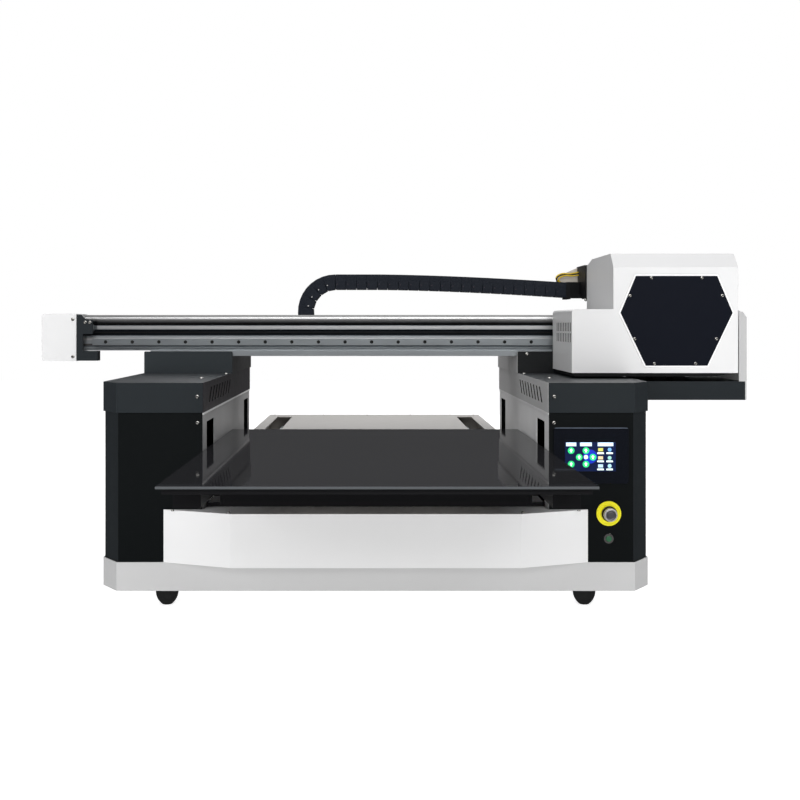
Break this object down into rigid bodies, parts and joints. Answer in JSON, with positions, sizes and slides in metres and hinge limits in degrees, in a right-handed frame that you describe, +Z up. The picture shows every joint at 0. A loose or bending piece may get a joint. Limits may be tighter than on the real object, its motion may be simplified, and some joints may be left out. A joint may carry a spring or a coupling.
{
  "type": "flatbed uv printer",
  "caption": "Flatbed UV printer: a glass-topped moving bed between two cabinets, under an extruded gantry with a covered print carriage and cable chain.",
  "frame": {"origin": "on the floor, at the middle of the machine's footprint box", "axes": "+X to the machine's right, +Y to its rear (the front faces -Y), +Z up"},
  "size_m": [1.5, 1.63, 0.678],
  "materials": {
    "base_grey_paint": "satin",
    "white_paint": "satin",
    "black_paint": "satin",
    "slate_paint": "satin",
    "panel_grey_paint": "satin",
    "frame_black_paint": "matt",
    "hex_paint": "satin",
    "extruded_alu": "extruded",
    "tray_alu": "brushed",
    "ground_steel": "ground",
    "screw_chrome": "polished",
    "foot_rubber": "matt",
    "belt_rubber": "matt",
    "motor_black": "matt",
    "chain_plastic": "moulded",
    "bed_glass": "polished",
    "screen_plastic": "gloss",
    "yellow_plastic": "gloss",
    "estop_metal": "turned",
    "lamp_green": "gloss",
    "wire_yellow": "soft"
  },
  "bodies": {
    "root": {"base_pan": "base_grey_paint", "feet": "foot_rubber", "chassis_frame": "frame_black_paint", "lift_actuators": "motor_black", "front_cover": "white_paint", "left_cabinet": "black_paint", "right_cabinet": "black_paint", "left_inner_panel": "panel_grey_paint", "right_inner_panel": "panel_grey_paint", "left_cap": "slate_paint", "right_cap": "slate_paint", "left_riser": "slate_paint", "right_riser": "slate_paint", "beam_base_plate": "extruded_alu", "gantry_beam": "extruded_alu", "x_rail": "ground_steel", "x_rail_screws": "screw_chrome", "left_end_cover": "white_paint", "idler_bracket": "slate_paint", "x_belt": "belt_rubber", "x_motor": "motor_black", "right_shelf": "slate_paint", "right_end_cover": "panel_grey_paint", "chain_trough": "frame_black_paint", "touch_screen": "screen_plastic", "estop_collar": "yellow_plastic", "power_bezel": "screw_chrome", "power_inlet": "screen_plastic", "panel_screws": "screw_chrome"},
    "lift": {"lift_frame": "frame_black_paint", "tray_cover": "tray_alu", "bed_rails": "ground_steel", "lift_rods": "ground_steel", "bed_belt": "belt_rubber", "bed_motor": "motor_black"},
    "bed": {"bed_plate": "frame_black_paint", "bed_glass": "bed_glass", "bed_bars": "frame_black_paint", "bed_bearing_blocks": "ground_steel", "bed_yoke": "frame_black_paint"},
    "carriage": {"carriage_back_plate": "extruded_alu", "x_bearing_blocks": "ground_steel", "carriage_base_plate": "frame_black_paint", "carriage_cover": "white_paint", "hex_plate": "hex_paint", "hex_plate_screws": "screw_chrome", "print_heads": "motor_black", "uv_lamps": "motor_black", "chain_arm": "frame_black_paint", "junction_box": "frame_black_paint", "wire_loop": "wire_yellow", "chain_upper_run": "chain_plastic"},
    "chain": {"chain_bend": "chain_plastic"},
    "x_drive": {"x_drive_pulley": "ground_steel"},
    "x_idler": {"x_idler_pulley": "ground_steel"},
    "bed_drive": {"bed_drive_pulley": "ground_steel"},
    "bed_idler": {"bed_idler_pulley": "ground_steel"},
    "capping": {"capping_unit": "frame_black_paint"},
    "estop": {"estop_button": "estop_metal"},
    "power": {"power_button": "lamp_green"}
  },
  "joints": [
    {"name": "bed_lift", "type": "slide", "parent": "root", "child": "lift", "axis": [0, 0, 1], "range_m": [0, 0.12]},
    {"name": "bed_feed", "type": "slide", "parent": "lift", "child": "bed", "axis": [0, 1, 0], "range_m": [0, 0.84]},
    {"name": "carriage_travel", "type": "slide", "parent": "root", "child": "carriage", "axis": [-1, 0, 0], "range_m": [0, 0.95], "deforming": ["chain_upper_run"]},
    {"name": "chain_roll", "type": "slide", "parent": "root", "child": "chain", "axis": [-1, 0, 0], "range_m": [0, 0.475]},
    {"name": "x_drive_turn", "type": "hinge", "parent": "root", "child": "x_drive", "pos_m": [0.7, 0.1995, 0.5255], "axis": [0, 1, 0], "range_deg": [-10, 5194]},
    {"name": "x_idler_turn", "type": "hinge", "parent": "root", "child": "x_idler", "pos_m": [-0.65, 0.1995, 0.5255], "axis": [0, 1, 0], "range_deg": [-10, 5194]},
    {"name": "bed_drive_turn", "type": "hinge", "parent": "lift", "child": "bed_drive", "pos_m": [0, 0.765, 0.255], "axis": [1, 0, 0], "range_deg": [-4021, 10]},
    {"name": "bed_idler_turn", "type": "hinge", "parent": "lift", "child": "bed_idler", "pos_m": [0, -0.452, 0.255], "axis": [1, 0, 0], "range_deg": [-4021, 10]},
    {"name": "capping_drop", "type": "slide", "parent": "root", "child": "capping", "axis": [0, 0, -1], "range_m": [0, 0.008]},
    {"name": "estop_press", "type": "slide", "parent": "root", "child": "estop", "axis": [0, 1, 0], "range_m": [0, 0.004], "stiffness_N_per_m": 1500, "springref_m": -0.004},
    {"name": "power_press", "type": "slide", "parent": "root", "child": "power", "axis": [0, 1, 0], "range_m": [0, 0.0015], "stiffness_N_per_m": 800, "springref_m": -0.002}
  ],
  "couplings": [
    {"joint": "chain_roll", "follows": "carriage_travel", "ratio": 0.5},
    {"joint": "x_drive_turn", "follows": "carriage_travel", "rad_per_m": 95.238},
    {"joint": "x_idler_turn", "follows": "carriage_travel", "rad_per_m": 95.238},
    {"joint": "bed_drive_turn", "follows": "bed_feed", "rad_per_m": -83.333},
    {"joint": "bed_idler_turn", "follows": "bed_feed", "rad_per_m": -83.333}
  ]
}
